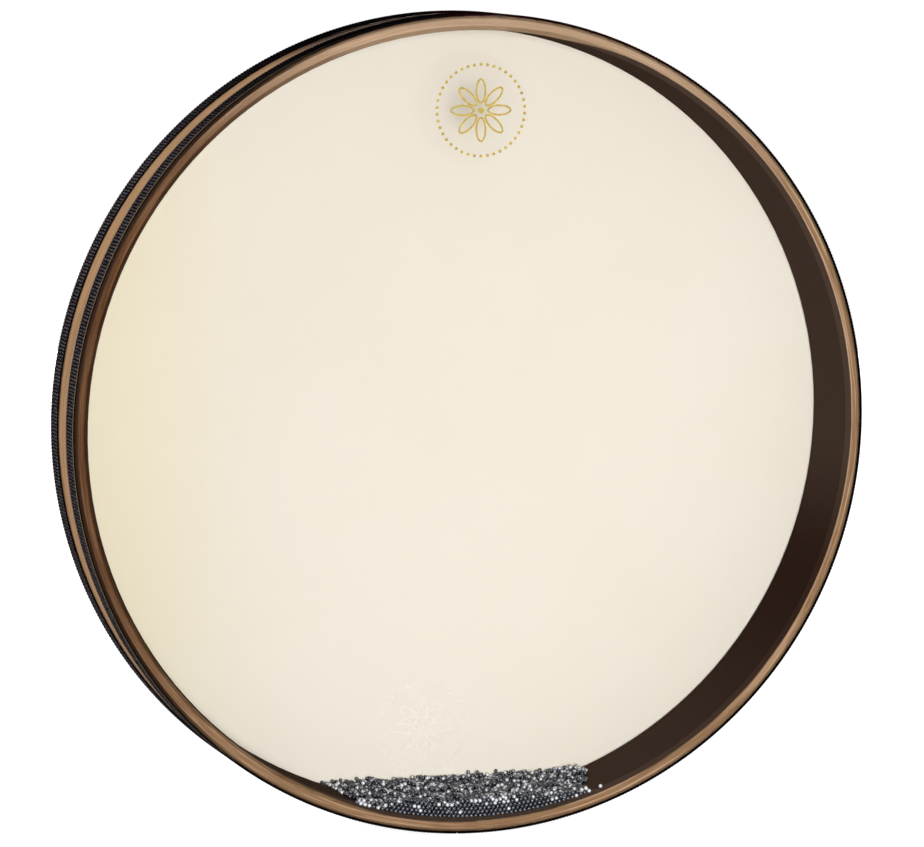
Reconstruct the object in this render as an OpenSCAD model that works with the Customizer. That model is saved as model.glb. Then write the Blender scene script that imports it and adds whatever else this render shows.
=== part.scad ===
// Ocean drum: a shallow wooden frame drum with a film head on each side
// and a charge of loose steel shot that rolls inside.
// The drum's axis runs along Y. The clear head faces -Y and the cream head faces +Y.
// The origin is at the middle of the drum, and the shot lies at the lowest point, along -Z.

/* [Shell] */
// Outside diameter of the wooden shell
shell_d = 558.8; // [300:0.1:700]
// Depth of the shell from one bearing edge to the other
shell_depth = 69.3; // [60:0.1:110]
// Thickness of the outer face ply
outer_ply_t = 1.6; // [0.8:0.1:3]
// Thickness of one core ply
core_ply_t = 2.1; // [1.2:0.1:3]
// Thickness of the stained inner ply
inner_ply_t = 1.7; // [0.8:0.1:3]
// Glue line between two plies, or under a film or a ribbon
glue_t = 0.05; // [0.02:0.01:0.1]
// Gap where the two ends of a ply meet
ply_joint_gap = 0.3; // [0.1:0.05:0.8]
// Width of the stained bevel inside each bearing edge
bevel_w = 3.3; // [1.5:0.1:4]
// Radius that rounds the outer shoulder of each bearing edge
shoulder_r = 1.9; // [0.8:0.1:3]

/* [Heads] */
// Thickness of the head film
film_t = 0.25; // [0.15:0.01:0.5]
// Length of the collar that is glued down the outside of the shell
collar_l = 18; // [10:0.5:20]

/* [Ribbon bands] */
// Width of the black ribbon
band_w = 20; // [18.5:0.1:26]
// Thickness of the black ribbon, ribs included
band_t = 1.25; // [0.6:0.05:2]
// Distance from the front of a head to its ribbon
band_inset = 0.7; // [0.5:0.1:3]
// Gap where the two ends of the ribbon meet
band_joint_gap = 0.8; // [0.2:0.1:2]

/* [Shot] */
// Diameter of one steel ball
ball_d = 2.9; // [2.4:0.1:3.4]
// Free space between one ball and the next
ball_gap = 0.06; // [0.04:0.01:0.15]
// Running clearance between the shot and the drum
shot_gap = 0.3; // [0.2:0.05:0.5]
// Height of the pile at the clear head
front_rise = 13.5; // [11:0.1:15]
// Height of the pile at the cream head
rear_rise = 17.2; // [15:0.1:20]
// Spacing of the loose balls along the top of the pile
loose_pitch_x = 6.4; // [6:0.1:9]
// Spacing of the loose balls across the top of the pile
loose_pitch_y = 7; // [6:0.1:10]
// Distance of the stray ball from the end of the rows, along the wall
stray_lead = 5.4; // [4:0.1:60]

/* [Hidden] */
$fn = 180;
ball_fn = 24;

core_plies = 3;
shell_r = shell_d / 2;
half_depth = shell_depth / 2;
wall_t = outer_ply_t + core_plies * core_ply_t + inner_ply_t + (core_plies + 1) * glue_t;
inside_r = shell_r - wall_t;
ball_r = ball_d / 2;
over = 1;

// Where the ends of each ply meet, as turns from the lowest point, so that no two joints line up
ply_joint_shares = [0.54, 0.12, 0.37, 0.79, 0.63];
// Where the ends of each ribbon meet
band_joint_shares = [0.006, 0.03];

// The crest is where the head film turns down over the shoulder
crest_r = shell_r - shoulder_r;
head_in = half_depth + glue_t;
head_out = head_in + film_t;
film_r = shell_r + glue_t + film_t;
band_in_r = film_r + glue_t;
band_r = band_in_r + band_t;
band_top = head_out - band_inset;
ply_edge = shell_r - outer_ply_t;
core_pitch = core_ply_t + glue_t;

// The pile: its visible top rises in a straight slope from the clear head to the cream head,
// and its rows against the clear head climb a little towards both ends.
ball_pitch = ball_d + ball_gap;
row_pitch = ball_pitch * sqrt(3) / 2;
front_ball_y = -half_depth + shot_gap + ball_r;
groove_r = inside_r + bevel_w - ball_r - shot_gap - (ball_r + shot_gap) * sqrt(2);
wall_ball_r = inside_r - shot_gap - ball_r;
front_dish_share = 0.2;
front_half_l = sqrt(2 * inside_r * front_rise);
front_end_angle = acos((inside_r - front_rise * (1 + front_dish_share) + ball_r) / groove_r);
stray_angle = front_end_angle + atan(stray_lead / groove_r);
front_rows = floor((front_rise + inside_r - groove_r) / row_pitch);
bed_front = front_ball_y + ball_r + ball_gap;
bed_back = half_depth - shot_gap;
bed_r = inside_r - shot_gap;
slope = (rear_rise - front_rise) / shell_depth;
loose_seed = 7;
seed_steps = [97, 13, 1009];
loose_columns = ceil(sqrt(2 * inside_r * rear_rise) / loose_pitch_x);
loose_rows = floor((bed_back - bed_front) / loose_pitch_y);
loose_margin = (bed_back - bed_front - loose_rows * loose_pitch_y) / 2;
loose_jitter_x = (loose_pitch_x - ball_pitch) / 2;
loose_jitter_y = (loose_pitch_y - ball_pitch) / 2;
loose_wall_r = wall_ball_r - shot_gap;
clump_columns = 6;
clump_rows = 12;
clump_lead_share = 1.3;

// Height of the pile's visible top at a place along the drum's axis
function pile_top(y) = -inside_r + front_rise + slope * (y + half_depth);
function bed_top(y) = pile_top(y) - ball_pitch;
// Height of the middle of a ball that lies on the bed
function loose_z(y) = bed_top(y) + (ball_r + ball_gap) * sqrt(1 + slope * slope);
// Angle between two balls that touch, on a circle round the drum's axis
function ball_step(r) = 2 * asin(ball_pitch / 2 / r);
// Height that the rows against the clear head reach
function front_top(x) = pile_top(-half_depth) + front_dish_share * front_rise * pow(x / front_half_l, 2);
// A point on the wall at an angle from the lowest point, positive towards +X
function on_wall(r, angle, y) = [r * sin(angle), y, -r * cos(angle)];
// One repeatable number from -1 to 1 for each direction k at each place in the loose layer
function jitter(i, j, k) = rands(-1, 1, 1, loose_seed + [i, j, k] * seed_steps)[0];

// Half of the shell's cross-section, with the radius along x and the drum's axis along y:
// bevelled inside and rounded outside at both bearing edges
module wall_section() {
    difference() {
        union() {
            translate([inside_r, -half_depth]) square([crest_r - inside_r, shell_depth]);
            translate([inside_r, -half_depth + shoulder_r])
                square([wall_t, shell_depth - 2 * shoulder_r]);
            for (side = [-1, 1])
                translate([crest_r, side * (half_depth - shoulder_r)])
                    circle(r = shoulder_r, $fn = 48);
        }
        for (side = [-1, 1])
            polygon([
                [inside_r - over, side * (half_depth - bevel_w - over)],
                [inside_r + bevel_w + over, side * (half_depth + over)],
                [inside_r - over, side * (half_depth + over)]
            ]);
    }
}

// A cut across a hoop at a share of a turn from the lowest point
module joint_cut(share, gap, r_in, r_out, depth) {
    rotate([0, -360 * share, 0])
        translate([-gap / 2, -depth / 2 - over, -r_out - over])
            cube([gap, depth + 2 * over, r_out - r_in + 2 * over]);
}

// One bent ply between two radii, cut from the shell's section, with its two ends butted
module ply(r_in, r_out, share) {
    difference() {
        rotate([-90, 0, 0]) rotate_extrude() intersection() {
            translate([r_in, -half_depth - over]) square([r_out - r_in, shell_depth + 2 * over]);
            wall_section();
        }
        joint_cut(share, ply_joint_gap, r_in, r_out, shell_depth);
    }
}

module outer_ply() {
    color("burlywood") ply(ply_edge, shell_r, ply_joint_shares[0]);
}

// Core plies are counted from the outside
module core_ply(n) {
    edge = ply_edge - glue_t - n * core_pitch;
    color("peru") ply(edge - core_ply_t, edge, ply_joint_shares[n + 1]);
}

module inner_ply() {
    color([0.22, 0.17, 0.14]) ply(inside_r, inside_r + inner_ply_t, ply_joint_shares[core_plies + 1]);
}

// The flat part of a head film, which lies on the bearing edge. Side is -1 in front and 1 behind.
module head(side) {
    rotate([-90, 0, 0])
        translate([0, 0, side > 0 ? head_in : -head_out])
            cylinder(r = crest_r, h = film_t);
}

// The edge of a head film in section, as the space inside its outer surface, grown by a thickness
module shoulder_section(grow) {
    translate([crest_r, half_depth - shoulder_r]) circle(r = shoulder_r + grow, $fn = 48);
    translate([crest_r - shoulder_r, head_out - collar_l - over])
        square([2 * shoulder_r + grow, half_depth - shoulder_r - head_out + collar_l + over]);
}

// The collar that is formed over the shoulder and glued down the outside of the shell
module head_collar(side) {
    rotate([side > 0 ? -90 : 90, 0, 0]) rotate_extrude() intersection() {
        difference() {
            shoulder_section(glue_t + film_t);
            shoulder_section(glue_t);
        }
        translate([crest_r, head_out - collar_l]) square([film_r - crest_r + over, collar_l + over]);
    }
}

module front_head() {
    color([0.9, 0.95, 0.95, 0.25]) head(-1);
}

module front_head_collar() {
    color([0.85, 0.88, 0.85, 0.4]) head_collar(-1);
}

module rear_head() {
    color("antiquewhite") head(1);
}

module rear_head_collar() {
    color("antiquewhite") head_collar(1);
}

// A ribbon round the rim, over the collar of one head, with its two ends butted
module band(side, share) {
    section_y = side > 0 ? band_top - band_w : -band_top;
    difference() {
        rotate([-90, 0, 0]) rotate_extrude()
            translate([band_in_r, section_y]) square([band_t, band_w]);
        translate([0, section_y + band_w / 2, 0])
            joint_cut(share, band_joint_gap, band_in_r, band_r, band_w);
    }
}

module front_band() {
    color([0.08, 0.07, 0.08]) band(-1, band_joint_shares[0]);
}

module rear_band() {
    color([0.08, 0.07, 0.08]) band(1, band_joint_shares[1]);
}

module ball(place) {
    translate(place) sphere(d = ball_d, $fn = ball_fn);
}

// The settled balls that don't show, as one solid under the loose balls and behind the rows
module shot_bed() {
    color([0.3, 0.31, 0.34]) intersection() {
        translate([0, bed_front, 0]) rotate([-90, 0, 0]) cylinder(r = bed_r, h = bed_back - bed_front);
        translate([-inside_r, 0, 0]) rotate([90, 0, 90]) linear_extrude(2 * inside_r)
            polygon([
                [-half_depth, -inside_r - over],
                [half_depth, -inside_r - over],
                [half_depth, bed_top(half_depth)],
                [-half_depth, bed_top(-half_depth)]
            ]);
    }
}

// Rows of balls that lie against the clear head and follow the wall. The lowest lies in the bevel.
// All rows share the step of the shortest one, so that each ball nests between two others.
module front_shot_rows() {
    step = ball_step(groove_r - (front_rows - 1) * row_pitch);
    half_count = ceil(front_end_angle / step);
    color([0.36, 0.37, 0.41])
    for (k = [0:front_rows - 1], i = [-half_count:half_count]) {
        place = on_wall(groove_r - k * row_pitch, (i + (k % 2) / 2) * step, front_ball_y);
        if (place.z + ball_r <= front_top(place.x)) ball(place);
    }
}

// Balls that lie loose on the bed, from one column to another
module loose_shot(first, last) {
    for (i = [first:last], j = [0:loose_rows - 1]) {
        x = (i + 1 / 2) * loose_pitch_x + loose_jitter_x * jitter(i, j, 0);
        y = bed_front + loose_margin + (j + 1 / 2) * loose_pitch_y + loose_jitter_y * jitter(i, j, 1);
        if (norm([x, loose_z(y)]) <= loose_wall_r) ball([x, y, loose_z(y)]);
    }
}

module loose_shot_left() {
    color([0.55, 0.56, 0.6]) loose_shot(-loose_columns, -1);
}

module loose_shot_right() {
    color([0.55, 0.56, 0.6]) loose_shot(0, loose_columns - 1);
}

// Balls that the last roll of the drum left on the wall above the pile's right end
module shot_clump() {
    step = ball_step(wall_ball_r);
    loose_end = acos(-loose_z(bed_back) / loose_wall_r);
    color([0.62, 0.63, 0.67])
    for (j = [0:clump_rows - 1], i = [0:clump_columns - 1 - floor(j / 2)]) {
        angle = loose_end + step * (clump_lead_share + i + (j % 2) / 2);
        ball(on_wall(wall_ball_r, angle, bed_back - ball_r - j * row_pitch));
    }
}

module stray_ball() {
    color([0.7, 0.71, 0.75]) ball(on_wall(groove_r, stray_angle, front_ball_y));
}

outer_ply();
core_ply(0);  // core_ply_1
core_ply(1);  // core_ply_2
core_ply(2);  // core_ply_3
inner_ply();
front_head();
front_head_collar();
rear_head();
rear_head_collar();
front_band();
rear_band();
shot_bed();
front_shot_rows();
loose_shot_left();
loose_shot_right();
shot_clump();
stray_ball();
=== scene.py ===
# Ocean drum: finishes for the wooden shell and its film heads, two ribbed ribbons,
# the steel shot and a plain studio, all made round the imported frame.

import math

import bmesh
import bpy
import numpy as np
from bpy.props import FloatProperty, FloatVectorProperty, IntProperty, PointerProperty
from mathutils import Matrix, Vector


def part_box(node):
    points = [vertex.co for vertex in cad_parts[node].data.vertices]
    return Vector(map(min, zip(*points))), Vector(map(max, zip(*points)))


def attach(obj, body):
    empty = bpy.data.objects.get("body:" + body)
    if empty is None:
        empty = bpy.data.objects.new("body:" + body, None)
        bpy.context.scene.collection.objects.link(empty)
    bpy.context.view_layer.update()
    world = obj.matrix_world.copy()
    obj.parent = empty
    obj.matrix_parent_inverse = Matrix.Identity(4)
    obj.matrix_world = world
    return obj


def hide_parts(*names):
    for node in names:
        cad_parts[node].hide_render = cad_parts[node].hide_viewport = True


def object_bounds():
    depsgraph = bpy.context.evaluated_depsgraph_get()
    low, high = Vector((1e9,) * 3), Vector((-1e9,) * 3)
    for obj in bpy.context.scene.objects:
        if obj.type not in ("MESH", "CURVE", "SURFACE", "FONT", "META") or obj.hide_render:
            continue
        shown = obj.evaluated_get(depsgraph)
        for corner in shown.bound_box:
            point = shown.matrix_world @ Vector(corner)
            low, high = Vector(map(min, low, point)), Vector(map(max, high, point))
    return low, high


bl_info = {
    "name": "Ocean Drum",
    "version": (1, 0, 0),
    "blender": (4, 5, 0),
    "location": "3D View > Sidebar > Ocean Drum",
    "description": "Builds the looks of an ocean drum round its packed frame",
    "category": "Add Mesh",
}

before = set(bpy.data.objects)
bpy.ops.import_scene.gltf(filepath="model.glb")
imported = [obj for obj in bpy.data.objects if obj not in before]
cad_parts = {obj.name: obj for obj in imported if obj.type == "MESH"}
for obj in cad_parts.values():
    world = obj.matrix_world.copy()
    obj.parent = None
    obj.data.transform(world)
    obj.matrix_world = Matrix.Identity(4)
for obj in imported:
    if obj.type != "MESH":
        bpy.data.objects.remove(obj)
cad_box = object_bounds()

MM = 0.001
TURN = 2 * math.pi
AXIS = (0, 1, 0)
CENTRE = (0, 0, 0)
WHITE = (1, 1, 1, 1)


def radii(node, along=-1):
    """Smallest and largest distance from the axis of a node's points, from a place along it on."""
    points = (point.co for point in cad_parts[node].data.vertices)
    spread = [math.hypot(x, z) for x, y, z in points if y > along - MM / 100]
    return min(spread), max(spread)


HALF_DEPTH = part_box("outer_ply")[1].y
INSIDE_R = radii("inner_ply")[0]
SHELL_R = radii("outer_ply")[1]
BEVEL_R = radii("core_ply_3", HALF_DEPTH)[0]
BEVEL_W = BEVEL_R - INSIDE_R
BAND_IN_R, BAND_R = radii("front_band")
HEAD_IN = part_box("rear_head")[0].y
BAND_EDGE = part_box("rear_band")[1].y
BAND_W = BAND_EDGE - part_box("rear_band")[0].y
BALL_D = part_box("stray_ball")[1].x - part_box("stray_ball")[0].x
SHOT_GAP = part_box("stray_ball")[0].y + HALF_DEPTH
BALL_REACH = BALL_D / 2 + SHOT_GAP
CLUMP_ACROSS = 90 * MM
CLUMP_ALONG = 20 * MM
CLUMP_R = 10 * MM
FILM_IOR = 1.45
# each lamp's name, which is also that of its power setting, its width and its place
LAMPS = (
    ("key", 0.8, (-0.62, -3.3, 0.25)),
    ("fill", 1.4, (-2.4, -0.6, 1.5)),
    ("back", 1.6, (0.9, 3.2, 0.35)),
)


def size(name, about, default, unit="LENGTH"):
    """A length or angle that a user can change."""
    return FloatProperty(name=name, description=about, default=default, unit=unit, precision=5)


def amount(name, about, default):
    return FloatProperty(name=name, description=about, default=default, min=0, precision=3)


def tint(name, about, default):
    """A linear colour that a user can change."""
    return FloatVectorProperty(
        name=name, description=about, default=default, size=3, min=0, max=1, subtype="COLOR"
    )


class WoodSettings(bpy.types.PropertyGroup):
    """Colours of the bent plies."""

    light: tint("Light grain", "Pale streaks of the core plies", (0.58, 0.415, 0.28))
    dark: tint("Dark grain", "Dark streaks of the core plies", (0.25, 0.145, 0.085))
    olive: tint("Olive grain", "Greyer streaks between the others", (0.41, 0.29, 0.175))
    red: tint("Red ply", "Colour that the middle core ply leans to", (0.36, 0.17, 0.10))
    face: tint("Face grain", "Pale streaks of the outer face", (0.76, 0.44, 0.22))
    face_dark: tint("Face shade", "Dark streaks of the outer face", (0.44, 0.25, 0.13))
    stain: tint("Stain", "Dark stain on the inner ply and the bevels", (0.056, 0.036, 0.0265))
    # painted shade: a filter that darkens the left of the rim
    painted_left_shade: tint("Painted left shade", "Filter over the left of the rim", (0.38, 0.30, 0.25))
    shade: tint("Shade", "Filter over the rim away from its top", (0.78, 0.73, 0.65))
    # painted shade: the dark colour along the rim's outer edge, at its inner edge on the left and
    # over the outer ply's top
    edge: tint("Edge shade", "Red-brown line along the outer ply's edge", (0.030, 0.008, 0.003))
    top: tint("Top grain", "Even colour that the top of the rim leans to", (0.44, 0.30, 0.195))
    bevel: tint("Bevel shade", "Filter over the bare part of the bevel", (0.72, 0.69, 0.64))
    dim: tint("Low shade", "Filter over the inside wall, low on the right", (0.48, 0.38, 0.34))
    streak: size("Streak width", "Width of one streak of the grain", 1.7 * MM)
    bleed: size("Stain bleed", "How far the stain strays past the bevel", 0.35 * MM)


class HeadSettings(bpy.types.PropertyGroup):
    """Finish of the two film heads."""

    cream: tint("Cream", "Colour of the rear film", (0.927, 0.88, 0.788))
    cream_dark: tint("Cream shade", "Mottling of the rear film", (0.92, 0.865, 0.765))
    shade: tint("Film shade", "Filter over the upper left of the rear film", (0.935, 0.928, 0.92))
    yellow: tint("Yellow side", "Filter over the left of the rear film", (1, 0.978, 0.845))
    glow: amount("Glow", "Share of light that the rear film lets through", 0.30)
    gloss: amount("Gloss", "Strength of the clear film's reflections", 0.25)
    # its colour also serves as painted shade on the left of the collar
    collar: tint("Collar", "Haze of the clear collar over the wood", (0.030, 0.014, 0.008))


class RibbonSettings(bpy.types.PropertyGroup):
    """Shape and colours of the ribbed ribbons."""

    pitch: size("Rib pitch", "Distance from one rib to the next", 2.38 * MM)
    rib: size("Rib width", "Width of one rib", 1.6 * MM)
    rise: size("Rib height", "Height of a rib over the ribbon", 0.36 * MM)
    margin: size("Margin", "Plain edge beside the ends of the ribs", 0.2 * MM)
    joint: size("Joint", "Gap where the two ends of a ribbon meet", 0.8 * MM)
    front_turn: size("Front joint", "Place of the front ribbon's joint", 0.006 * TURN, "ROTATION")
    rear_turn: size("Rear joint", "Place of the rear ribbon's joint", 0.03 * TURN, "ROTATION")
    black: tint("Black", "Colour of the woven ribbon", (0.003, 0.002, 0.0025))
    maroon: tint("Maroon", "Colour of the ribbon at the drum's top", (0.012, 0.002, 0.002))
    # painted highlight along the ribbon's outer edge, on the left
    edge: tint("Edge", "Pale thread along the ribbon's outer edge, on the left", (0.22, 0.17, 0.10))
    # painted sheen: the colour of the lit tops of the ribs
    sheen: tint("Sheen", "Colour of the ribs' worn tops", (0.15, 0.13, 0.145))


class ShotSettings(bpy.types.PropertyGroup):
    """The pile of steel balls."""

    front_rise: size("Front height", "Height of the pile at the clear head", 13.2 * MM)
    rear_rise: size("Rear height", "Height of the pile at the cream head", 20.2 * MM)
    dish: size("Dish", "How much higher the front of the pile is at its ends", 3.6 * MM)
    clump: size("Clump height", "Height of the clump at the right end of the pile", 3.5 * MM)
    pitch: size("Ball spacing", "Distance between the middles of two balls", 2.93 * MM)
    seed: IntProperty(name="Seed", description="Number that the pile grows from", default=11)
    dull: tint("Dull steel", "Colour of a ball in the shade", (0.042, 0.046, 0.060))
    spot: tint("Highlight", "Colour of a dull ball where it faces the viewer", (0.085, 0.09, 0.105))
    # painted light: the colour of a ball that catches the light
    bright: tint("Bright steel", "Colour of a lit ball", (0.72, 0.73, 0.76))
    # painted light: how lit the stray ball is painted
    stray: amount("Stray ball", "How lit the stray ball is, up to 1", 0.9)


class MotifSettings(bpy.types.PropertyGroup):
    """The printed ornament on each head."""

    gold: tint("Gold", "Ink on the clear head", (0.39, 0.275, 0.03))
    faint: tint("Faint ink", "Ink on the cream head", (0.78, 0.72, 0.63))
    radius: size("Radius", "Radius of the ring of dots", 31 * MM)
    front_x: size("Front place", "Place of the front ornament across the drum", 3 * MM)
    front_z: size("Front height", "Height of the front ornament", 215.5 * MM)
    rear_x: size("Rear place", "Place of the rear ornament across the drum", -18.6 * MM)
    rear_z: size("Rear height", "Height of the rear ornament", -217.9 * MM)


class StageSettings(bpy.types.PropertyGroup):
    """Camera, lamps and floor."""

    azimuth: size("Azimuth", "Turn of the camera round the drum", math.radians(-16.65), "ROTATION")
    elevation: size("Elevation", "Rise of the camera", math.radians(6.4), "ROTATION")
    distance: size("Distance", "Distance of the camera", 3.4435)
    drop: size("Drop", "How far below the middle the camera aims", 1.3 * MM)
    focal: amount("Focal length", "Focal length in millimetres", 195.15)
    key: amount("Key lamp", "Power of the key lamp in watts", 111)
    fill: amount("Fill lamp", "Power of the fill lamp in watts", 16)
    back: amount("Back lamp", "Power of the lamp behind the drum in watts", 40)
    ambient: amount("Ambient", "Strength of the world's light", 0.24)
    floor: size("Floor", "Width of the floor", 400)


class OceanDrumSettings(bpy.types.PropertyGroup):
    """All the drum's settings."""

    wood: PointerProperty(type=WoodSettings)
    heads: PointerProperty(type=HeadSettings)
    ribbon: PointerProperty(type=RibbonSettings)
    shot: PointerProperty(type=ShotSettings)
    motif: PointerProperty(type=MotifSettings)
    stage: PointerProperty(type=StageSettings)


def rgba(colour):
    return (*colour, 1)


class Value:
    """A shader socket on which Python's arithmetic adds Math nodes."""

    def __init__(self, finish, socket):
        self.finish = finish
        self.socket = socket

    def __add__(self, other):
        return self.finish.math("ADD", self, other)

    def __sub__(self, other):
        return self.finish.math("SUBTRACT", self, other)

    def __rsub__(self, other):
        return self.finish.math("SUBTRACT", other, self)

    def __mul__(self, other):
        return self.finish.math("MULTIPLY", self, other)

    def __truediv__(self, other):
        return self.finish.math("DIVIDE", self, other)

    __radd__ = __add__
    __rmul__ = __mul__


class Finish:
    """A node tree that is built up from plain calls."""

    def __init__(self, tree):
        self.tree = tree
        tree.nodes.clear()

    def add(self, kind, settings, inputs, output=0):
        """Adds a node, sets it up, feeds its sockets and gives one output, or the node itself."""
        node = self.tree.nodes.new(kind)
        stops = settings.pop("stops", None)
        for name, setting in settings.items():
            setattr(node, name, setting)
        if stops:
            while len(node.color_ramp.elements) < len(stops):
                node.color_ramp.elements.new(1)
            for element, (place, colour) in zip(node.color_ramp.elements, stops):
                element.position = place
                element.color = rgba(colour)
        for key, value in inputs.items():
            if isinstance(value, Value):
                self.tree.links.new(value.socket, node.inputs[key])
            else:
                node.inputs[key].default_value = value
        if output is None:
            return node
        return Value(self, node.outputs[output])

    def math(self, operation, *values, clamp=False):
        settings = {"operation": operation, "use_clamp": clamp}
        return self.add("ShaderNodeMath", settings, dict(enumerate(values)))

    def rise(self, value, low, high):
        """0 below low, 1 above high and a smooth step between."""
        inputs = {"Value": value, "From Min": low, "From Max": high}
        return self.add("ShaderNodeMapRange", {"interpolation_type": "SMOOTHSTEP"}, inputs)

    def mix(self, factor, first, second, blend="MIX"):
        """A colour between two colours, or the first one blended with the second."""
        inputs = {0: factor, 6: first, 7: second}
        return self.add("ShaderNodeMix", {"data_type": "RGBA", "blend_type": blend}, inputs, 2)

    def noise(self, vector, scale=1, detail=2.0, roughness=0.5):
        inputs = {"Vector": vector, "Scale": scale, "Detail": detail, "Roughness": roughness}
        return self.add("ShaderNodeTexNoise", {}, inputs)

    def vector(self, x, y, z):
        return self.add("ShaderNodeCombineXYZ", {}, {0: x, 1: y, 2: z})

    def round_noise(self, across, up, along, round_scale, along_scale):
        """Noise that is stretched or squeezed round the drum and along its axis."""
        place = self.vector(across * round_scale, along * along_scale, up * round_scale)
        return self.noise(place)

    def place(self):
        """Object coordinates as a vector and as x, y and z."""
        node = self.add("ShaderNodeTexCoord", {}, {}, output=None)
        vector = Value(self, node.outputs["Object"])
        split = self.add("ShaderNodeSeparateXYZ", {}, {0: vector}, output=None)
        return [vector] + [Value(self, output) for output in split.outputs]

    def round_axis(self):
        """Direction round the drum's axis as two numbers, distance from it and place along it."""
        _, x, y, z = self.place()
        radius = self.math("SQRT", x * x + z * z)
        return x / radius, z / radius, radius, y

    def backdrop_rays(self):
        """1 for the rays that show the backdrop, straight or by a mirror or glass, otherwise 0."""
        node = self.add("ShaderNodeLightPath", {}, {}, output=None)
        names = ("Is Camera Ray", "Is Glossy Ray", "Is Transmission Ray", "Is Diffuse Ray")
        camera, glossy, through, diffuse = (Value(self, node.outputs[name]) for name in names)
        clear = self.math("SUBTRACT", through, diffuse, clamp=True)
        return self.math("MAXIMUM", camera, self.math("MAXIMUM", glossy, clear))

    def bump(self, height, strength, depth):
        inputs = {"Height": height, "Strength": strength, "Distance": depth}
        return self.add("ShaderNodeBump", {}, inputs)

    def principled(self, **inputs):
        """Principled shader whose sockets are named in lower case, with underscores."""
        named = {key.replace("_", " ").title(): value for key, value in inputs.items()}
        named = {key.replace("Ior", "IOR"): value for key, value in named.items()}
        return self.add("ShaderNodeBsdfPrincipled", {}, named)

    def output(self, surface):
        self.add("ShaderNodeOutputMaterial", {}, {"Surface": surface}, output=None)

    def cover(self, **inputs):
        """Ends the material with one principled shader."""
        self.output(self.principled(**inputs))

    def see_through(self, solid, film):
        """Ends the material with a clear film, on which a share of the surface looks solid."""
        clear = self.add("ShaderNodeBsdfTransparent", {}, {0: WHITE})
        self.output(self.add("ShaderNodeMixShader", {}, {0: solid, 1: clear, 2: film}))


def new_finish(name):
    material = bpy.data.materials.new(name)
    material.use_nodes = True
    return material, Finish(material.node_tree)


def dress(nodes, material):
    """Gives a finish to CAD nodes, whose shapes stay as they are."""
    for node in nodes:
        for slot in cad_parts[node].material_slots:
            slot.material = material


def grain(finish, wood):
    """Streaks that run round the hoop, fine and broad, and where they lie."""
    slant = 0.83
    fine_scale, broad_scale = 3, 2
    broad_streak = wood.streak * 3.2
    across, up, radius, along = finish.round_axis()
    layer = radius + along * slant
    place = finish.vector(across * fine_scale, layer / wood.streak, up * fine_scale)
    fine = finish.noise(place, detail=3.0, roughness=0.6)
    place = finish.vector(across * broad_scale, layer / broad_streak, up * broad_scale)
    broad = finish.noise(place)
    return fine, broad, across, up, radius, along


def left_shade(finish, across, up):
    """1 on the stretch of the rim, on the left, that takes the most painted shade, and 0 away from
    it.
    """
    middle_across, middle_up = -0.985, 0.17
    start, full = 0.42, 0.96
    return finish.rise(across * middle_across + up * middle_up, start, full)


def paint_rim_shade(finish, wood, colour, across, up, radius):
    """Painted shade on the rim of the shell: palest at its top, red-brown on the left and dark
    along its outer edge.
    """
    top_start, top_full = 0.45, 0.95
    edge_start, edge_full = SHELL_R - 3.2 * MM, SHELL_R - 0.7 * MM
    edge_share, more_on_left = 0.42, 0.5
    # painted shade: the rim is darker away from its top
    low = 1 - finish.rise(up, top_start, top_full)
    colour = finish.mix(low, colour, rgba(wood.shade), "MULTIPLY")
    left = left_shade(finish, across, up)
    colour = finish.mix(left, colour, rgba(wood.painted_left_shade), "MULTIPLY")
    # painted shade along the outer edge, deepest on the left
    outer = finish.rise(radius, edge_start, edge_full) * (left * more_on_left + edge_share)
    return finish.mix(outer, colour, rgba(wood.edge))


def pale_bevel_share(finish, across, up):
    """Share of the bevel that keeps the rim's colour instead of the stain colour: all at the top,
    half on the left, little elsewhere.

    The turns start at the top and are in radians, to the right or to the left.
    """
    left_start, left_full, left_loss = 0.5, 1.2, 0.45
    bottom_start, bottom_full = 2.72, 2.95
    right_start, right_full = 0.14, 0.47
    low_start, low_full, low_share = 1.7, 2.5, 0.12
    right_turn = finish.math("ARCTAN2", across, up)
    left_turn = right_turn * -1
    left = 1 - finish.rise(left_turn, left_start, left_full) * left_loss
    left = left * (1 - finish.rise(left_turn, bottom_start, bottom_full))
    top = (1 - finish.rise(right_turn, right_start, right_full)) * left
    low = finish.rise(right_turn, low_start, low_full) * low_share
    return finish.math("MAXIMUM", top, low)


def stained_share(finish, wood, across, up, radius, along):
    """1 on the inside wall and the stained part of the bevel, with a wavy border, otherwise 0."""
    wave_scale = 60
    place = finish.vector(across * wave_scale, 0, up * wave_scale)
    wavy = (finish.noise(place) - 0.5) * wood.bleed
    edge = BEVEL_R - wood.bleed - pale_bevel_share(finish, across, up) * (BEVEL_W + wood.bleed)
    stained = 1 - finish.rise(radius + wavy - edge, 0, wood.bleed)
    wall_end = HALF_DEPTH - BEVEL_W
    wall = 1 - finish.rise(finish.math("ABSOLUTE", along), wall_end, wall_end + wood.bleed)
    return finish.math("MAXIMUM", stained, wall)


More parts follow.
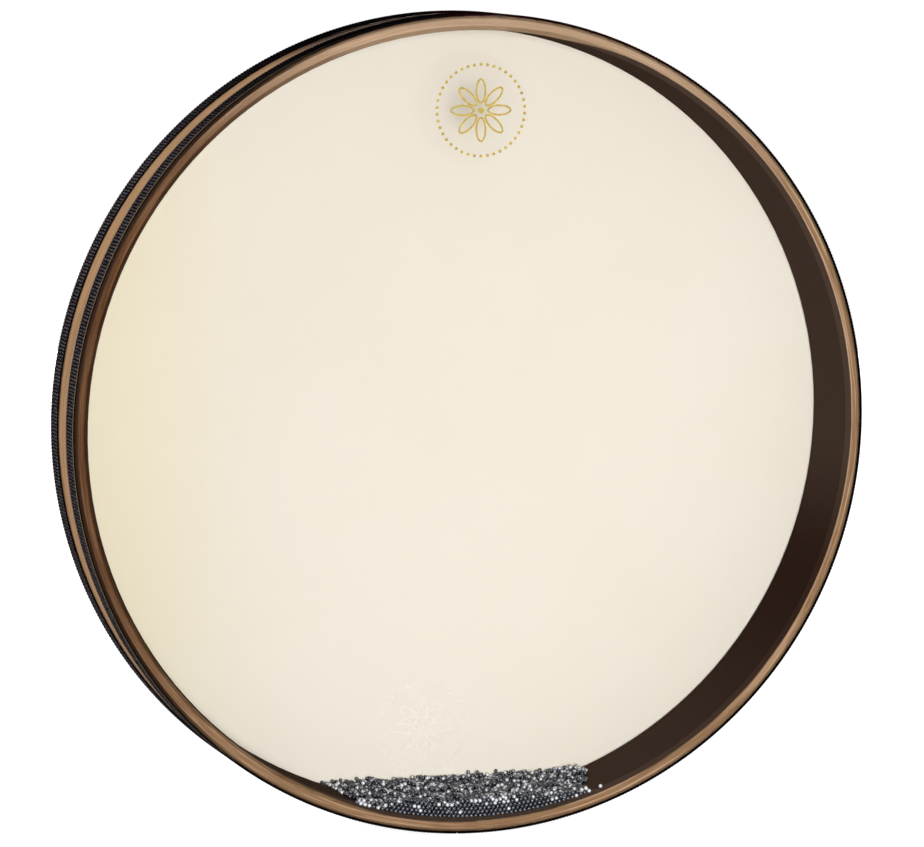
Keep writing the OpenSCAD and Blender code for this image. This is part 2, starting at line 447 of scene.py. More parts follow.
def hoop_wood(name, wood, lean):
    """Bent ply that leans to red, stained dark on its inside and on all but the bevel's top, with
    painted shade and a painted highlight on its rim.
    """
    top_start, top_full, top_share = 0.5, 0.9, 0.6
    bevel_start, bevel_end = BEVEL_R - 0.9 * MM, BEVEL_R + 0.6 * MM
    inner_shade_start, inner_shade_end, inner_shade_share = BEVEL_R - 1.8 * MM, BEVEL_R + 1.2 * MM, 0.5
    line_place, line_w, line_fade, line_share = 0.35 * MM, 0.15 * MM, 0.5 * MM, 0.45
    right_start, right_full = 0.45, 0.9
    dim_bottom, dim_low, dim_high, dim_top = -1.05, -0.45, -0.4, -0.05
    fine_share, broad_share = 0.8, 0.2
    material, finish = new_finish(name)
    fine, broad, across, up, radius, along = grain(finish, wood)
    stops = [(0.36, wood.dark), (0.44, wood.olive), (0.49, wood.dark), (0.58, wood.light)]
    streaks = fine * fine_share + broad * broad_share
    colour = finish.add("ShaderNodeValToRGB", {"stops": stops}, {0: streaks})
    colour = finish.mix(lean, colour, rgba(wood.red))
    top = finish.rise(up, top_start, top_full) * top_share
    colour = finish.mix(top, colour, rgba(wood.top))
    # painted shade: the bevel is darker than the rim, and the rim's painted shade is deepest on the
    # left
    bevel = 1 - finish.rise(radius, bevel_start, bevel_end)
    colour = finish.mix(bevel, colour, rgba(wood.bevel), "MULTIPLY")
    colour = paint_rim_shade(finish, wood, colour, across, up, radius)
    # painted shade: the rim darkens towards its inner edge on the left
    inner = 1 - finish.rise(radius, inner_shade_start, inner_shade_end)
    inner = inner * left_shade(finish, across, up) * inner_shade_share
    colour = finish.mix(inner, colour, rgba(wood.edge))
    # painted highlight: a pale line along the edge of the bevel, on the right
    off_line = finish.math("ABSOLUTE", radius - BEVEL_R - line_place)
    right = finish.rise(across, right_start, right_full)
    line = (1 - finish.rise(off_line, line_w, line_fade)) * right * line_share
    colour = finish.mix(line, colour, rgba(wood.light))
    # painted shade: the stain is darker low on the wall, but not at the bottom
    dim = (1 - finish.rise(up, dim_high, dim_top)) * finish.rise(up, dim_bottom, dim_low)
    stain = finish.mix(dim, rgba(wood.stain), rgba(wood.dim), "MULTIPLY")
    stained = stained_share(finish, wood, across, up, radius, along)
    colour = finish.mix(stained, colour, stain)
    bump = finish.bump(fine, strength=0.25, depth=0.1 * MM)
    roughness = 0.5 + fine * 0.2
    finish.cover(base_color=colour, roughness=roughness, normal=bump, specular_ior_level=0)
    return material


def face_wood(wood):
    """Outer ply: tan veneer with long streaks, with the rim's painted shade on its edges and
    painted shade over its top.
    """
    rim_start, rim_full = HALF_DEPTH - 2 * MM, HALF_DEPTH - 1.6 * MM
    crown_start, crown_full, crown_share = 0.86, 0.95, 0.94
    fine_share, broad_share = 0.45, 0.55
    material, finish = new_finish("outer_ply_wood")
    fine, broad, across, up, radius, along = grain(finish, wood)
    stops = [(0.32, wood.face_dark), (0.50, wood.face), (0.60, wood.face_dark), (0.74, wood.face)]
    streaks = fine * fine_share + broad * broad_share
    colour = finish.add("ShaderNodeValToRGB", {"stops": stops}, {0: streaks})
    rim = finish.rise(finish.math("ABSOLUTE", along), rim_start, rim_full)
    wooden = finish.mix(0.5, rgba(wood.dark), rgba(wood.olive))
    colour = finish.mix(rim, colour, paint_rim_shade(finish, wood, wooden, across, up, radius))
    # painted shade: the top of the outer face is darkened with the edge colour
    crown = finish.rise(up, crown_start, crown_full) * (1 - rim)
    colour = finish.mix(crown * crown_share, colour, rgba(wood.edge))
    bump = finish.bump(fine, strength=0.2, depth=0.1 * MM)
    roughness = 0.5 + broad * 0.15
    finish.cover(base_color=colour, roughness=roughness, normal=bump, specular_ior_level=0.03)
    return material


def clear_film(heads):
    """Film that shows only as soft reflections near grazing angles, and not under its collar."""
    near_black = (0.02, 0.02, 0.02)
    collar_start, collar_full = SHELL_R - 3 * MM, SHELL_R - 2.1 * MM
    material, finish = new_finish("clear_head_film")
    across, up, radius, _ = finish.round_axis()
    place = finish.vector(across * radius, 0, up * radius)
    ripple = finish.noise(place, scale=14, detail=1.0)
    bump = finish.bump(ripple, strength=0.05, depth=0.5 * MM)
    gloss = finish.principled(base_color=rgba(near_black), roughness=0.12, normal=bump)
    edge_on = finish.add("ShaderNodeFresnel", {}, {"IOR": FILM_IOR})
    off_collar = 1 - finish.rise(radius, collar_start, collar_full)
    finish.see_through(edge_on * heads.gloss * off_collar, gloss)
    return material


def hazy_film(heads):
    """Clear collar, a little scuffed, over the wood, with painted shade that darkens it on the
    left.
    """
    least_haze, edge_haze, left_painted_shade = 0.03, 0.3, 0.85
    material, finish = new_finish("clear_collar_film")
    across, up, _, along = finish.round_axis()
    scuff = finish.round_noise(across, up, along, round_scale=30, along_scale=900)
    film = finish.principled(
        base_color=rgba(heads.collar), roughness=0.3 + scuff * 0.2, specular_ior_level=0.02
    )
    edge_on = finish.add("ShaderNodeFresnel", {}, {"IOR": FILM_IOR})
    haze = edge_on * edge_haze + least_haze
    # painted shade: the collar turns dark on the left
    left = left_shade(finish, across, up) * left_painted_shade
    finish.see_through(finish.math("MAXIMUM", haze, left), film)
    return material


def cream_film(heads):
    """Matte film that glows a little with the light behind it."""
    shade_across, shade_up, shade_fade = 0.8, 0.6, 0.2
    yellow_start, yellow_full = 0.12, 0.25
    material, finish = new_finish("cream_head_film")
    vector, across, _, up = finish.place()
    cloud = finish.noise(vector, scale=9, detail=3.0, roughness=0.55)
    stops = [(0.35, heads.cream_dark), (0.65, heads.cream)]
    colour = finish.add("ShaderNodeValToRGB", {"stops": stops}, {0: cloud})
    # painted shade: the rear film is darker towards its upper left
    slope = across * shade_across - up * shade_up
    shade = 1 - finish.rise(slope, -shade_fade, shade_fade)
    colour = finish.mix(shade, colour, rgba(heads.shade), "MULTIPLY")
    left = finish.rise(across * -1, yellow_start, yellow_full)
    colour = finish.mix(left, colour, rgba(heads.yellow), "MULTIPLY")
    pores = finish.noise(vector, scale=1600)
    bump = finish.bump(pores, strength=0.12, depth=0.05 * MM)
    film = finish.principled(
        base_color=colour, roughness=0.5 + cloud * 0.1, normal=bump, specular_ior_level=0.2
    )
    glow = finish.add("ShaderNodeBsdfTranslucent", {}, {0: rgba(heads.cream)})
    finish.output(finish.add("ShaderNodeMixShader", {}, {0: heads.glow, 1: film, 2: glow}))
    return material


def ribbon_cloth(ribbon, base_r):
    """Woven black ribbon with painted sheen on the tops of its ribs and a painted highlight along
    its outer edge on the left; the ribs' feet lie at base_r.
    """
    rib_start, rib_full = base_r + ribbon.rise * 0.3, base_r + ribbon.rise * 0.95
    sheen_start, sheen_full, thread_share = 0.45, 0.85, 0.35
    crown_start, crown_full = 0.6, 0.95
    warm_start, warm_full = -0.12, 0.02
    glint_start, glint_full = BAND_EDGE - 0.25 * MM, BAND_EDGE - 0.1 * MM
    foot_start, foot_full = base_r - 0.35 * MM, base_r - 0.15 * MM
    material, finish = new_finish("black_ribbon_weave")
    across, up, radius, along = finish.round_axis()
    threads = finish.round_noise(across, up, along, round_scale=900, along_scale=2600)
    sheen_patches = finish.round_noise(across, up, along, round_scale=300, along_scale=260)
    rib = finish.rise(radius, rib_start, rib_full)
    crown = finish.rise(up, crown_start, crown_full)
    # painted sheen on the rib tops, in patches, but none at the drum's top
    shiny = rib * finish.rise(sheen_patches + threads * thread_share, sheen_start, sheen_full) * (1 - crown)
    warm = crown * finish.rise(across, warm_start, warm_full)
    black = finish.mix(warm, rgba(ribbon.black), rgba(ribbon.maroon))
    colour = finish.mix(shiny, black, rgba(ribbon.sheen))
    # painted highlight: a pale line along the ribbon's outer edge, on the left
    glint = finish.rise(finish.math("ABSOLUTE", along), glint_start, glint_full)
    glint = glint * finish.rise(radius, foot_start, foot_full)
    glint = glint * left_shade(finish, across, up)
    colour = finish.mix(glint, colour, rgba(ribbon.edge))
    bump = finish.bump(threads, strength=0.5, depth=0.12 * MM)
    roughness = 0.6 - shiny * 0.15
    finish.cover(base_color=colour, roughness=roughness, normal=bump, specular_ior_level=0)
    return material


def steel(shot):
    """Steel with painted light: each ball's tone, from dull to bright, is an attribute of its
    points, and a dull ball gets a painted highlight where it faces the viewer.
    """
    spot_w, spot_fade = 0.005, 0.12
    spotless_tone = -0.35
    dull_metal, less_if_bright = 0.75, 0.5
    material, finish = new_finish("steel_shot_polish")
    tone = finish.add("ShaderNodeAttribute", {"attribute_name": "tone"}, {}, output="Fac")
    facing = finish.add("ShaderNodeLayerWeight", {}, {"Blend": 0.5}, output="Facing")
    # painted highlight where a dull ball faces the viewer
    spot = (1 - finish.rise(facing, spot_w, spot_fade)) * finish.rise(tone, spotless_tone, 0)
    body = finish.mix(spot, rgba(shot.dull), rgba(shot.spot))
    colour = finish.mix(tone, body, rgba(shot.bright))
    vector, *_ = finish.place()
    smudge = finish.noise(vector, scale=700)
    roughness = 0.28 + smudge * 0.14
    metal = dull_metal - tone * less_if_bright
    finish.cover(base_color=colour, metallic=metal, roughness=roughness)
    return material


def ink(name, colour, metallic, spread):
    """Printed ink, whose colour strays by a share of spread."""
    material, finish = new_finish(name)
    vector, *_ = finish.place()
    patchy = finish.noise(vector, scale=500)
    light = tuple(channel * (1 + spread) for channel in colour)
    dark = tuple(channel * (1 - spread) for channel in colour)
    stops = [(0.3, dark), (0.7, light)]
    blend = finish.add("ShaderNodeValToRGB", {"stops": stops}, {0: patchy})
    finish.cover(base_color=blend, metallic=metallic, roughness=0.35 + patchy * 0.2)
    return material


def deselect():
    for thing in bpy.context.selected_objects:
        thing.select_set(False)


def settle_in_place(piece, name):
    """Names a new object and moves its place into its mesh."""
    piece.name = name
    piece.data.name = name
    bpy.ops.object.transform_apply(location=True, rotation=True, scale=True)


def pick_faces(piece, wanted):
    """In edit mode, selects only the faces for which wanted(face) holds."""
    bpy.ops.mesh.select_mode(type="FACE")
    bpy.ops.mesh.select_all(action="DESELECT")
    mesh = bmesh.from_edit_mesh(piece.data)
    for face in mesh.faces:
        face.select_set(wanted(face))
    mesh.select_flush(True)
    bmesh.update_edit_mesh(piece.data)


def give_finish(piece, material, body, slot, *nodes):
    """Material, body and replaced nodes of a finished piece; the slot argument is not used."""
    piece.data.materials.clear()
    piece.data.materials.append(material)
    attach(piece, body)
    if nodes:
        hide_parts(*nodes)


def make_ribbon(name, ribbon, middle_y, turn):
    """One rib on its stretch of ribbon, shaped once and repeated round the drum to the joint."""
    spare = 0.02 * MM
    taper = (0.86, 0.985, 1)
    soft_edge = ribbon.rise * 0.25
    weld = 0.004 * MM
    crease = math.radians(50)
    facing_out = -0.9
    count = round((TURN * BAND_R - ribbon.joint) / ribbon.pitch)
    step = (TURN - ribbon.joint / BAND_R) / count
    base_r = BAND_R - ribbon.rise - spare
    width = 2 * BAND_IN_R * math.tan(step / 2)
    side_x = width * 0.49
    deselect()
    bpy.ops.mesh.primitive_cube_add(
        size=1,
        location=(0, middle_y, -(BAND_IN_R + base_r) / 2),
        scale=(width, BAND_W, base_r - BAND_IN_R),
    )
    piece = bpy.context.object
    settle_in_place(piece, name)
    bpy.ops.object.mode_set(mode="EDIT")
    # the rib grows from the face that looks away from the axis
    pick_faces(piece, lambda face: face.normal.z < facing_out)
    top = (0, middle_y, -base_r)
    bpy.ops.transform.resize(value=(base_r / BAND_IN_R, 1, 1), center_override=top)
    bpy.ops.mesh.inset(thickness=(width - ribbon.rib) / 2)
    inset_w = BAND_W - (width - ribbon.rib)
    share = (BAND_W - 2 * ribbon.margin) / inset_w
    bpy.ops.transform.resize(value=(1, share, 1), center_override=top)
    bpy.ops.mesh.extrude_region_move(TRANSFORM_OT_translate={"value": (0, 0, -ribbon.rise)})
    crown = (0, middle_y, -base_r - ribbon.rise)
    bpy.ops.transform.resize(value=taper, center_override=crown)
    bpy.ops.mesh.bevel(offset=soft_edge, segments=2, affect="EDGES")
    # the faces between one stretch and the next go, so that the stretches join
    pick_faces(piece, lambda face: abs(face.calc_center_median().x) > side_x)
    bpy.ops.mesh.delete(type="ONLY_FACE")
    bpy.ops.mesh.select_all(action="SELECT")
    start = -turn - ribbon.joint / BAND_R / 2 - step / 2
    bpy.ops.transform.rotate(value=start, orient_axis="Y", center_override=CENTRE)
    bpy.ops.mesh.spin(
        steps=count - 1, dupli=True, angle=step * (count - 1), center=CENTRE, axis=AXIS
    )
    bpy.ops.mesh.select_all(action="SELECT")
    bpy.ops.mesh.remove_doubles(threshold=weld)
    bpy.ops.mesh.select_all(action="DESELECT")
    bpy.ops.mesh.select_mode(type="EDGE")
    # the two ends at the joint are closed
    bpy.ops.mesh.select_non_manifold()
    bpy.ops.mesh.edge_face_add()
    bpy.ops.mesh.select_all(action="SELECT")
    bpy.ops.mesh.normals_make_consistent(inside=False)
    bpy.ops.object.mode_set(mode="OBJECT")
    bpy.ops.object.shade_smooth_by_angle(angle=crease)
    return piece


def wall_limit(along):
    """Farthest distance from the axis at which a ball's middle can lie."""
    bevel_limit = np.abs(along) + INSIDE_R + BEVEL_W - HALF_DEPTH - BALL_REACH * math.sqrt(2)
    return np.maximum(INSIDE_R - BALL_REACH, bevel_limit)


def off_clump(across, along):
    """Distance from the middle of the clump at the right end of the pile, seen from above."""
    return np.hypot(across - CLUMP_ACROSS, along - CLUMP_ALONG)


def top_of_pile(shot, across, along):
    """Height of the pile: a slope from head to head that is dished in front, and a clump."""
    share = (along + HALF_DEPTH) / (2 * HALF_DEPTH)
    half_length = math.sqrt(2 * INSIDE_R * shot.front_rise)
    dish = shot.dish * (across / half_length) ** 2 * (1 - share)
    clump = shot.clump * np.exp(-((off_clump(across, along) / CLUMP_R) ** 2))
    return -INSIDE_R + shot.front_rise + (shot.rear_rise - shot.front_rise) * share + dish + clump


def near_pairs(points, reach):
    """Pairs of points that lie within reach of each other, found through a grid of cells."""
    cell = np.floor((points - points.min(0)) / reach).astype(np.int64) + 1
    dims = cell.max(0) + 2
    key = (cell[:, 0] * dims[1] + cell[:, 1]) * dims[2] + cell[:, 2]
    order = np.argsort(key, kind="stable")
    sorted_key = key[order]
    index = np.arange(len(points))
    firsts, seconds = [], []
    around = (-1, 0, 1)
    steps = [(x * dims[1] + y) * dims[2] + z for x in around for y in around for z in around]
    for step in (step for step in steps if step >= 0):
        start = np.searchsorted(sorted_key, key + step, "left")
        end = np.searchsorted(sorted_key, key + step, "right")
        for nth in range(int((end - start).max())):
            has = start + nth < end
            i, j = index[has], order[start[has] + nth]
            keep = i < j if step == 0 else np.ones(len(i), bool)
            firsts.append(i[keep])
            seconds.append(j[keep])
    first, second = np.concatenate(firsts), np.concatenate(seconds)
    near = ((points[first] - points[second]) ** 2).sum(1) < reach * reach
    return first[near], second[near]


def stacked_rows(shot):
    """Layers of balls from head to head, each with rows that follow the wall."""
    rows = 9
    widest_turn = 0.42
    row = shot.pitch * math.sqrt(3) / 2
    end = HALF_DEPTH - BALL_REACH
    layers = int(2 * end / (shot.pitch * math.sqrt(2 / 3)))
    points = []
    for layer, along in enumerate(np.linspace(-end, end, layers + 1)):
        wall = float(wall_limit(along))
        step = 2 * math.asin(shot.pitch / 2 / (wall - rows * row))
        half = int(widest_turn / step)
        for level in range(rows):
            radius = wall - level * row - (layer % 2) * row / 3
            angle = (np.arange(-half, half + 1) + (level % 2) / 2 + (layer % 2) / 2) * step
            ring = [radius * np.sin(angle), np.full_like(angle, along), -radius * np.cos(angle)]
            points.append(np.stack(ring, 1))
    return np.concatenate(points)


def let_settle(points, shot, steps, fall, held):
    """Lets the balls sink and pushes overlapping ones apart, inside the drum's walls."""
    steps_between_searches = 12
    searched = shot.pitch * 1.35
    pushes_in_step = 3
    firmness = 0.7
    tiny = 1e-9
    end = HALF_DEPTH - BALL_REACH
    total = len(points)
    still = points[held]
    for step in range(steps):
        if step % steps_between_searches == 0:
            first, second = near_pairs(points, searched)
        points[:, 2] -= fall * math.sqrt(1 - step / steps)
        for _ in range(pushes_in_step):
            apart = points[first] - points[second]
            distance = np.sqrt((apart**2).sum(1)) + tiny
            push = np.maximum(shot.pitch - distance, 0) / 2
            move = apart * (push / distance)[:, None] * firmness
            for axis in range(3):
                points[:, axis] += np.bincount(first, move[:, axis], total)
                points[:, axis] -= np.bincount(second, move[:, axis], total)
            radius = np.hypot(points[:, 0], points[:, 2])
            inside = np.minimum(1, wall_limit(points[:, 1]) / radius)
            points[:, 0] *= inside
            points[:, 2] *= inside
            points[:, 1] = np.clip(points[:, 1], -end, end)
            points[held] = still


def pile_of_balls(shot, chance):
    """Middles of all the balls at rest: tidy rows at the clear head and loose balls elsewhere."""
    ragged_top = 0.35
    gaps = 0.05
    tidy_depth = 1.5 * MM
    loosest_depth = 2 * MM
    loose_depth = 8 * MM
    least_loose = 0.05
    stir = 0.5 * MM
    fewest_neighbours = 3
    neighbour_reach = shot.pitch * 1.3
    points = stacked_rows(shot)
    depth = top_of_pile(shot, points[:, 0], points[:, 1]) - BALL_D / 2 - points[:, 2]
    held = (points[:, 1] < BALL_D - HALF_DEPTH) & (depth > tidy_depth)
    keep = depth > chance.normal(0, ragged_top, len(points)) * shot.pitch
    keep &= (chance.random(len(points)) > gaps) | held
    points, depth, held = points[keep], depth[keep], held[keep]
    loose = np.clip(1 - (depth - loosest_depth) / loose_depth, least_loose, 1)
    loose[held] = 0
    points += chance.normal(0, stir, points.shape) * loose[:, None]
    let_settle(points, shot, steps=200, fall=0.03 * MM, held=held)
    let_settle(points, shot, steps=60, fall=0, held=held)
    near = np.concatenate(near_pairs(points, neighbour_reach))
    return points[np.bincount(near, minlength=len(points)) >= fewest_neighbours]


def painted_ball_light(points, shot, chance):
    """How lit each ball is painted: mostly dull, some bright, more of them where they lie open;
    buried balls get a tone below 0 that takes their painted highlight away.
    """
    dullest, buried = 0.1, -0.2
    bright_in_clump, bright_on_top, bright_inside, bright_at_head = 0.8, 0.36, 0.03, 0.26
    least_at_head, least_elsewhere = 0.7, 0.2
    neighbour_reach = shot.pitch * 1.2
    step_up = 0.3 * BALL_D
    covering = 2
    shown_depth = 6 * MM
    near_head, first_layer = 2.5 * BALL_D, 0.9 * BALL_D
    clump_reach = 0.9 * CLUMP_R
    total = len(points)
    first, second = near_pairs(points, neighbour_reach)
    rise = points[second, 2] - points[first, 2]
    above = np.bincount(first[rise > step_up], minlength=total)
    above += np.bincount(second[-rise > step_up], minlength=total)
    open_top = above < covering
    depth = top_of_pile(shot, points[:, 0], points[:, 1]) - points[:, 2]
    from_head = points[:, 1] + HALF_DEPTH
    at_head = from_head < near_head
    in_clump = off_clump(points[:, 0], points[:, 1]) < clump_reach
    top_share = np.where(in_clump, bright_in_clump, bright_on_top)
    share_bright = np.where(open_top, top_share, bright_inside)
    share_bright[at_head & (depth < shown_depth)] = bright_at_head
    tone = chance.random(total) * dullest
    # painted shade: buried balls away from the head lose their highlight
    tone[~open_top & (from_head > first_layer)] = buried
    bright = chance.random(total) < share_bright
    least = np.where(at_head, least_at_head, least_elsewhere)[bright]
    tone[bright] = least + (1 - least) * chance.random(int(bright.sum()))
    return tone


def one_ball():
    """The ball that the whole pile repeats, with few faces because there are thousands."""
    deselect()
    bpy.ops.mesh.primitive_cube_add(size=BALL_D, location=CENTRE)
    ball = bpy.context.object
    bpy.ops.object.mode_set(mode="EDIT")
    bpy.ops.mesh.select_all(action="SELECT")
    bpy.ops.mesh.subdivide(number_cuts=1)
    bpy.ops.transform.tosphere(value=1, center_override=CENTRE)
    bpy.ops.mesh.normals_make_consistent(inside=False)
    bpy.ops.object.mode_set(mode="OBJECT")
    return ball


def copies(name, ball, points, tones):
    """One piece with a copy of the ball at each point."""
    source = ball.data
    source.calc_loop_triangles()
    corners = np.array([vertex.co for vertex in source.vertices])
    corners *= BALL_D / 2 / np.linalg.norm(corners, axis=1)[:, None]
    faces = np.array([triangle.vertices for triangle in source.loop_triangles])
    places = (points[:, None] + corners[None]).reshape(-1, 3)
    offsets = np.arange(len(points))[:, None, None] * len(corners)
    mesh = bpy.data.meshes.new(name)
    mesh.from_pydata(places.tolist(), [], (faces[None] + offsets).reshape(-1, 3).tolist())
    layer = mesh.attributes.new("tone", "FLOAT", "POINT")
    layer.data.foreach_set("value", np.repeat(tones, len(corners)).astype(np.float32))
    mesh.polygons.foreach_set("use_smooth", np.ones(len(mesh.polygons), bool))
    piece = bpy.data.objects.new(name, mesh)
    bpy.context.scene.collection.objects.link(piece)
    return piece


def repeat_round(count, centre):
    """In edit mode, copies what is selected evenly round a centre."""
    angle = TURN * (count - 1) / count
    bpy.ops.mesh.spin(steps=count - 1, dupli=True, angle=angle, center=centre, axis=AXIS)


def make_motif(name, motif, x, z, low_y, high_y):
    """Rosette of petals in a ring of dots, as a thin print on a head."""
    petals = 8
    dots = 42
    petal = (motif.radius * 0.125, 1, motif.radius * 0.28)
    petal_place = motif.radius * 0.42
    line = motif.radius * 0.042
    dot_r = motif.radius * 0.036
    eye_r = motif.radius * 0.07
    facing = (math.pi / 2, 0, 0)
    centre = (x, low_y, z)
    deselect()
    bpy.ops.mesh.primitive_circle_add(
        vertices=24, radius=1, fill_type="NGON", location=centre, rotation=facing
    )
    piece = bpy.context.object
    settle_in_place(piece, name)
    bpy.ops.object.mode_set(mode="EDIT")
    bpy.ops.transform.resize(value=petal, center_override=centre)
    bpy.ops.mesh.select_all(action="SELECT")
    bpy.ops.mesh.inset(thickness=line)
    bpy.ops.mesh.delete(type="ONLY_FACE")
    bpy.ops.mesh.select_all(action="SELECT")
    bpy.ops.transform.translate(value=(0, 0, petal_place))
    repeat_round(petals, centre)
    bpy.ops.mesh.select_all(action="DESELECT")
    first_dot = (x, low_y, z + motif.radius)
    bpy.ops.mesh.primitive_circle_add(
        vertices=16, radius=dot_r, fill_type="NGON", location=first_dot, rotation=facing
    )
    repeat_round(dots, centre)
    bpy.ops.mesh.select_all(action="DESELECT")
    bpy.ops.mesh.primitive_circle_add(
        vertices=24, radius=eye_r, fill_type="NGON", location=centre, rotation=facing
    )
    bpy.ops.mesh.select_all(action="SELECT")
    thick = {"value": (0, high_y - low_y, 0)}
    bpy.ops.mesh.extrude_region_move(TRANSFORM_OT_translate=thick)
    bpy.ops.mesh.select_all(action="SELECT")
    bpy.ops.mesh.normals_make_consistent(inside=False)
    bpy.ops.object.mode_set(mode="OBJECT")
    return piece


class ShellOperator(bpy.types.Operator):
    """Finishes the five plies of the shell"""

    bl_idname = "ocean_drum.shell"
    bl_label = "Finish the Shell"

    def execute(self, context):
        wood = context.scene.ocean_drum.wood
        dress(["outer_ply"], face_wood(wood))
        dress(["core_ply_1", "core_ply_3"], hoop_wood("core_ply_wood", wood, lean=0.04))
        dress(["core_ply_2"], hoop_wood("red_ply_wood", wood, lean=0.3))
        dress(["inner_ply"], hoop_wood("inner_ply_stain", wood, lean=0.1))
        return {"FINISHED"}


class HeadsOperator(bpy.types.Operator):
    """Finishes the clear head, the cream head and their collars"""

    bl_idname = "ocean_drum.heads"
    bl_label = "Finish the Heads"

    def execute(self, context):
        heads = context.scene.ocean_drum.heads
        dress(["front_head"], clear_film(heads))
        dress(["front_head_collar"], hazy_film(heads))
        dress(["rear_head", "rear_head_collar"], cream_film(heads))
        return {"FINISHED"}


class RibbonsOperator(bpy.types.Operator):
    """Winds a ribbed ribbon over the collar of each head"""

    bl_idname = "ocean_drum.ribbons"
    bl_label = "Add the Ribbons"

    def execute(self, context):
        ribbon = context.scene.ocean_drum.ribbon
        cloth = ribbon_cloth(ribbon, BAND_R - ribbon.rise)
        for side, turn in (("front", ribbon.front_turn), ("rear", ribbon.rear_turn)):
            low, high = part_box(side + "_band")
            piece = make_ribbon(side + "_ribbon", ribbon, (low.y + high.y) / 2, turn)
            give_finish(piece, cloth, "drum", "black_ribbon", side + "_band")
        return {"FINISHED"}


class ShotOperator(bpy.types.Operator):
    """Pours the steel balls and lets them settle"""

    bl_idname = "ocean_drum.shot"
    bl_label = "Add the Shot"

    def execute(self, context):
        shot = context.scene.ocean_drum.shot
        chance = np.random.default_rng(shot.seed)
        points = pile_of_balls(shot, chance)
        tones = painted_ball_light(points, shot, chance)
        painted_light = steel(shot)
        ball = one_ball()
        cuts = np.quantile(points[:, 0], [1 / 3, 2 / 3])
        third = np.digitize(points[:, 0], cuts)
        parts = (
            ("shot_left", ["loose_shot_left"]),
            ("shot_middle", ["shot_bed", "front_shot_rows"]),
            ("shot_right", ["loose_shot_right", "shot_clump"]),
        )
        for number, (name, nodes) in enumerate(parts):
            here = third == number
            piece = copies(name, ball, points[here], tones[here])
            give_finish(piece, painted_light, "shot", "steel_shot", *nodes)
        low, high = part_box("stray_ball")
        middle = np.array([(low + high) / 2])
        stray = copies("stray_shot_ball", ball, middle, np.array([shot.stray]))
        give_finish(stray, painted_light, "stray", "steel_shot", "stray_ball")
        bpy.data.objects.remove(ball)
        return {"FINISHED"}


class MotifsOperator(bpy.types.Operator):
    """Prints a plain ornament inside each head"""

    bl_idname = "ocean_drum.motifs"
    bl_label = "Add the Ornaments"

    def execute(self, context):
        motif = context.scene.ocean_drum.motif
        thin = 0.04 * MM
        front = make_motif(
            "front_ornament", motif, motif.front_x, motif.front_z, -HEAD_IN, -HEAD_IN + thin
        )
        gold = ink("gold_ink", motif.gold, metallic=0.25, spread=0.25)
        give_finish(front, gold, "drum", "clear_film")
        rear = make_motif(
            "rear_ornament", motif, motif.rear_x, motif.rear_z, HEAD_IN - thin, HEAD_IN
        )
        faint = ink("faint_ink", motif.faint, metallic=0, spread=0.04)
        give_finish(rear, faint, "drum", "cream_film")
        return {"FINISHED"}


def point_at(name, data, place, aim):
    """Adds a camera or lamp at a place and turns it towards another."""
    thing = bpy.data.objects.new(name, data)
    bpy.context.scene.collection.objects.link(thing)
    thing.location = place
    thing.rotation_euler = (aim - place).to_track_quat("-Z", "Y").to_euler()
    return thing


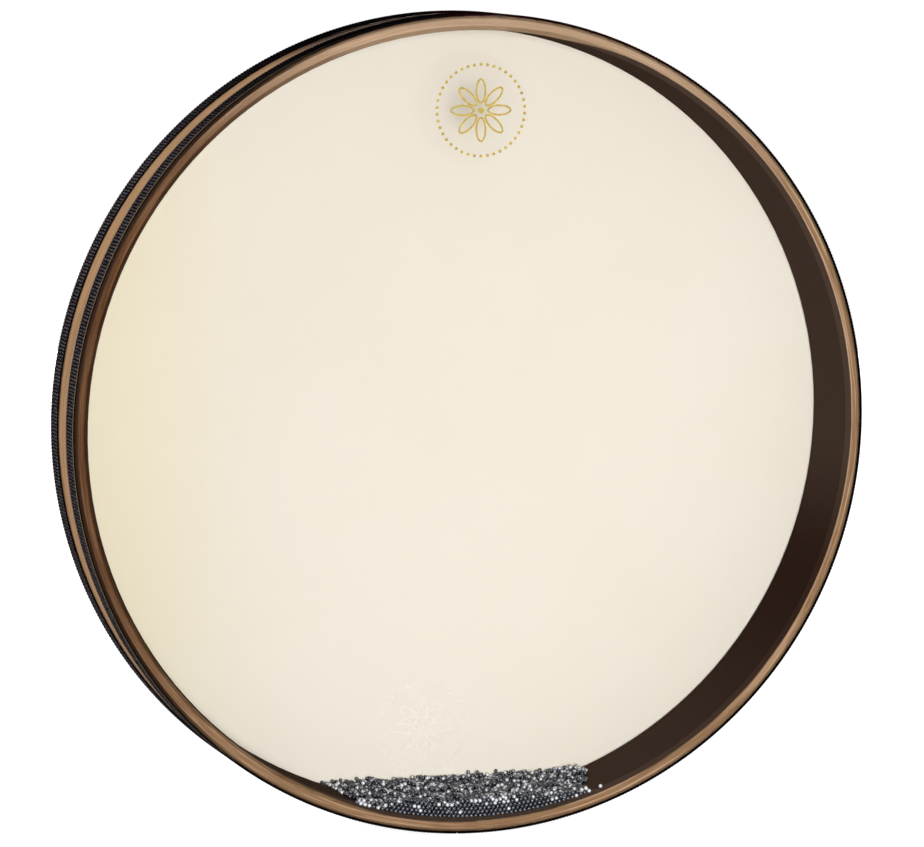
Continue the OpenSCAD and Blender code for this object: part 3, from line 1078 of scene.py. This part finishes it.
class StageOperator(bpy.types.Operator):
    """Sets up the camera, the lamps, the world and the floor"""

    bl_idname = "ocean_drum.stage"
    bl_label = "Set the Stage"

    def execute(self, context):
        stage = context.scene.ocean_drum.stage
        scene = context.scene
        scene.view_settings.view_transform = "Standard"
        self.place_camera(scene, stage)
        for name, width, place in LAMPS:
            self.add_lamp(name, getattr(stage, name), width, place)
        self.light_world(scene, stage)
        self.add_floor(stage)
        return {"FINISHED"}

    def place_camera(self, scene, stage):
        """Camera in front of the drum, aimed a little below its middle."""
        level = math.cos(stage.elevation)
        x = math.sin(stage.azimuth) * level
        y = -math.cos(stage.azimuth) * level
        towards = Vector((x, y, math.sin(stage.elevation)))
        lens = bpy.data.cameras.new("camera")
        lens.lens = stage.focal
        lens.sensor_fit = "HORIZONTAL"
        lens.clip_end = stage.floor
        aim = Vector((0, 0, -stage.drop))
        scene.camera = point_at("camera", lens, towards * stage.distance, aim)

    def add_lamp(self, name, power, width, place):
        """Round lamp that shines at the middle of the drum."""
        lamp = bpy.data.lights.new(name, "AREA")
        lamp.energy = power
        lamp.shape = "DISK"
        lamp.size = width
        point_at(name, lamp, Vector(place), Vector(CENTRE))

    def light_world(self, scene, stage):
        """White for the rays that show the backdrop, and weaker where the world lights the drum."""
        world = bpy.data.worlds.new("studio")
        world.use_nodes = True
        scene.world = world
        finish = Finish(world.node_tree)
        seen = finish.backdrop_rays()
        strength = seen * (1 - stage.ambient) + stage.ambient
        sky = finish.add("ShaderNodeBackground", {}, {0: WHITE, 1: strength})
        finish.add("ShaderNodeOutputWorld", {}, {0: sky}, output=None)

    def add_floor(self, stage):
        """Grey floor whose own light makes it white to the camera, apart from the drum's shadow."""
        grey = (0.6, 0.6, 0.6)
        lift = 0.89
        deselect()
        bpy.ops.mesh.primitive_plane_add(size=stage.floor, location=(0, 0, cad_box[0].z))
        floor = bpy.context.object
        floor.name = "floor"
        material, finish = new_finish("studio_floor")
        seen = finish.backdrop_rays()
        paint = finish.add("ShaderNodeBsdfDiffuse", {}, {0: rgba(grey)})
        white = finish.add("ShaderNodeEmission", {}, {0: WHITE, 1: seen * lift})
        mixed = finish.add("ShaderNodeAddShader", {}, {0: paint, 1: white})
        finish.output(mixed)
        floor.data.materials.append(material)


OPERATORS = (
    ShellOperator, HeadsOperator, RibbonsOperator, ShotOperator, MotifsOperator, StageOperator,
)


class OceanDrumPanel(bpy.types.Panel):
    """Lists the steps that build the drum"""

    bl_idname = "VIEW3D_PT_ocean_drum"
    bl_label = "Ocean Drum"
    bl_space_type = "VIEW_3D"
    bl_region_type = "UI"
    bl_category = "Ocean Drum"

    def draw(self, context):
        for operator in OPERATORS:
            self.layout.operator(operator.bl_idname)


CLASSES = (
    WoodSettings, HeadSettings, RibbonSettings, ShotSettings, MotifSettings, StageSettings,
    OceanDrumSettings, *OPERATORS, OceanDrumPanel,
)


def register():
    for cls in CLASSES:
        bpy.utils.register_class(cls)
    bpy.types.Scene.ocean_drum = PointerProperty(type=OceanDrumSettings)


def unregister():
    del bpy.types.Scene.ocean_drum
    for cls in reversed(CLASSES):
        bpy.utils.unregister_class(cls)


def main():
    register()
    bpy.ops.ocean_drum.shell()
    bpy.ops.ocean_drum.heads()
    bpy.ops.ocean_drum.ribbons()
    bpy.ops.ocean_drum.shot()
    bpy.ops.ocean_drum.motifs()
    bpy.ops.ocean_drum.stage()


if __name__ == "__main__":
    main()
